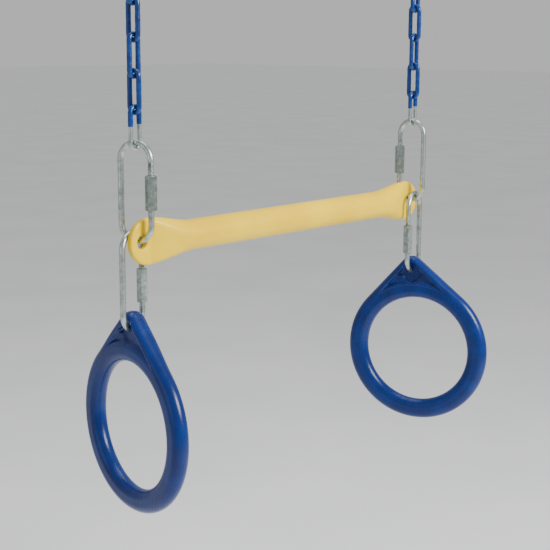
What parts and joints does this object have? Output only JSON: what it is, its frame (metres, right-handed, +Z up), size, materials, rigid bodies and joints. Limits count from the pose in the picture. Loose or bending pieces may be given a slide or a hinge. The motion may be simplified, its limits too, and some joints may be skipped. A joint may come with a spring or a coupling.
{
  "type": "trapeze bar with rings",
  "caption": "Coated steel trapeze bar hung on coated chains by quick links, with a moulded hand ring linked below each flattened end.",
  "frame": {"origin": "midway between the two hang points, which are the centres of the top bends of the two top chain links", "axes": "+X along the bar towards the right ring, +Y to the back, +Z up"},
  "size_m": [0.5014, 0.2015, 0.5791],
  "materials": {
    "zinc_steel": "zinc plated, bright and slightly drawn",
    "bar_vinyl": "soft dipped vinyl coat, satin",
    "ring_plastic": "moulded polyethylene, glossy",
    "chain_vinyl": "dipped vinyl coat, glossy"
  },
  "bodies": {
    "root": {"chain_left_core_1": "zinc_steel", "chain_left_coat_1": "chain_vinyl", "chain_right_core_1": "zinc_steel", "chain_right_coat_1": "chain_vinyl"},
    "chain_left_2": {"chain_left_core_2": "zinc_steel", "chain_left_coat_2": "chain_vinyl"},
    "chain_left_3": {"chain_left_core_3": "zinc_steel", "chain_left_coat_3": "chain_vinyl"},
    "chain_left_4": {"chain_left_core_4": "zinc_steel", "chain_left_coat_4": "chain_vinyl"},
    "chain_left_5": {"chain_left_core_5": "zinc_steel", "chain_left_coat_5": "chain_vinyl"},
    "chain_left_6": {"chain_left_core_6": "zinc_steel", "chain_left_coat_6": "chain_vinyl"},
    "upper_link_left": {"upper_link_left": "zinc_steel"},
    "upper_nut_left": {"upper_nut_left": "zinc_steel"},
    "lower_link_left": {"lower_link_left": "zinc_steel"},
    "lower_nut_left": {"lower_nut_left": "zinc_steel"},
    "ring_left": {"ring_left": "ring_plastic"},
    "chain_right_2": {"chain_right_core_2": "zinc_steel", "chain_right_coat_2": "chain_vinyl"},
    "chain_right_3": {"chain_right_core_3": "zinc_steel", "chain_right_coat_3": "chain_vinyl"},
    "chain_right_4": {"chain_right_core_4": "zinc_steel", "chain_right_coat_4": "chain_vinyl"},
    "chain_right_5": {"chain_right_core_5": "zinc_steel", "chain_right_coat_5": "chain_vinyl"},
    "chain_right_6": {"chain_right_core_6": "zinc_steel", "chain_right_coat_6": "chain_vinyl"},
    "upper_link_right": {"upper_link_right": "zinc_steel"},
    "upper_nut_right": {"upper_nut_right": "zinc_steel"},
    "lower_link_right": {"lower_link_right": "zinc_steel"},
    "lower_nut_right": {"lower_nut_right": "zinc_steel"},
    "ring_right": {"ring_right": "ring_plastic"},
    "bar": {"bar_tube": "zinc_steel", "bar_coating": "bar_vinyl"}
  },
  "joints": [
    {"name": "chain_left_2_swing", "type": "hinge", "parent": "root", "child": "chain_left_2", "pos_m": [-0.22115, 0.004, -0.0282], "axis": [0.9998, -0.0181, 0], "range_deg": [-25, 25]},
    {"name": "chain_left_3_swing", "type": "hinge", "parent": "chain_left_2", "child": "chain_left_3", "pos_m": [-0.22115, 0.004, -0.068], "axis": [0.9998, -0.0181, 0], "range_deg": [-25, 25]},
    {"name": "chain_left_4_swing", "type": "hinge", "parent": "chain_left_3", "child": "chain_left_4", "pos_m": [-0.22115, 0.004, -0.0962], "axis": [0.9998, -0.0181, 0], "range_deg": [-25, 25]},
    {"name": "chain_left_5_swing", "type": "hinge", "parent": "chain_left_4", "child": "chain_left_5", "pos_m": [-0.22115, 0.004, -0.136], "axis": [0.9998, -0.0181, 0], "range_deg": [-25, 25]},
    {"name": "chain_left_6_swing", "type": "hinge", "parent": "chain_left_5", "child": "chain_left_6", "pos_m": [-0.22115, 0.004, -0.1642], "axis": [0.9998, -0.0181, 0], "range_deg": [-25, 25]},
    {"name": "upper_link_left_sway", "type": "hinge", "parent": "chain_left_6", "child": "upper_link_left", "pos_m": [-0.2205, 0.004, -0.1982], "axis": [0, 1, 0], "range_deg": [-10, 10]},
    {"name": "upper_nut_left_travel", "type": "slide", "parent": "upper_link_left", "child": "upper_nut_left", "axis": [0, 0, 1], "range_m": [0, 0.0125]},
    {"name": "lower_link_left_swing", "type": "hinge", "parent": "upper_link_left", "child": "lower_link_left", "pos_m": [-0.22281, 0.0098, -0.29309], "axis": [-0.2588, 0.9659, 0], "range_deg": [-3, 55]},
    {"name": "lower_nut_left_travel", "type": "slide", "parent": "lower_link_left", "child": "lower_nut_left", "axis": [0, 0, 1], "range_m": [0, 0.0125]},
    {"name": "ring_left_swing", "type": "hinge", "parent": "lower_link_left", "child": "ring_left", "pos_m": [-0.22281, 0.0098, -0.38404], "axis": [0.9848, -0.1736, 0], "range_deg": [-60, 60]},
    {"name": "chain_right_2_swing", "type": "hinge", "parent": "root", "child": "chain_right_2", "pos_m": [0.22014, -0.004, -0.0282], "axis": [0.9998, -0.0181, 0], "range_deg": [-25, 25]},
    {"name": "chain_right_3_swing", "type": "hinge", "parent": "chain_right_2", "child": "chain_right_3", "pos_m": [0.22014, -0.004, -0.068], "axis": [0.9998, -0.0181, 0], "range_deg": [-25, 25]},
    {"name": "chain_right_4_swing", "type": "hinge", "parent": "chain_right_3", "child": "chain_right_4", "pos_m": [0.22014, -0.004, -0.0962], "axis": [0.9998, -0.0181, 0], "range_deg": [-25, 25]},
    {"name": "chain_right_5_swing", "type": "hinge", "parent": "chain_right_4", "child": "chain_right_5", "pos_m": [0.22014, -0.004, -0.136], "axis": [0.9998, -0.0181, 0], "range_deg": [-25, 25]},
    {"name": "chain_right_6_swing", "type": "hinge", "parent": "chain_right_5", "child": "chain_right_6", "pos_m": [0.22014, -0.004, -0.1642], "axis": [0.9998, -0.0181, 0], "range_deg": [-25, 25]},
    {"name": "upper_link_right_sway", "type": "hinge", "parent": "chain_right_6", "child": "upper_link_right", "pos_m": [0.2195, -0.004, -0.1982], "axis": [0, 1, 0], "range_deg": [-10, 10]},
    {"name": "upper_nut_right_travel", "type": "slide", "parent": "upper_link_right", "child": "upper_nut_right", "axis": [0, 0, 1], "range_m": [0, 0.0125]},
    {"name": "lower_link_right_swing", "type": "hinge", "parent": "upper_link_right", "child": "lower_link_right", "pos_m": [0.22034, -0.0098, -0.29318], "axis": [-0.2079, 0.9781, 0], "range_deg": [-55, 3]},
    {"name": "lower_nut_right_travel", "type": "slide", "parent": "lower_link_right", "child": "lower_nut_right", "axis": [0, 0, 1], "range_m": [0, 0.0125]},
    {"name": "ring_right_swing", "type": "hinge", "parent": "lower_link_right", "child": "ring_right", "pos_m": [0.22034, -0.0098, -0.38413], "axis": [0.9563, 0.2924, 0], "range_deg": [-60, 60]},
    {"name": "bar_level", "type": "hinge", "parent": "upper_link_left", "child": "bar", "pos_m": [-0.22, 0, -0.29488], "axis": [0, 1, 0], "range_deg": [-10, 10]}
  ],
  "couplings": [
    {"joint": "chain_right_2_swing", "follows": "chain_left_2_swing", "ratio": 1},
    {"joint": "chain_right_3_swing", "follows": "chain_left_3_swing", "ratio": 1},
    {"joint": "chain_right_4_swing", "follows": "chain_left_4_swing", "ratio": 1},
    {"joint": "chain_right_5_swing", "follows": "chain_left_5_swing", "ratio": 1},
    {"joint": "chain_right_6_swing", "follows": "chain_left_6_swing", "ratio": 1},
    {"joint": "upper_link_right_sway", "follows": "upper_link_left_sway", "ratio": 1},
    {"joint": "bar_level", "follows": "upper_link_left_sway", "ratio": -1}
  ]
}
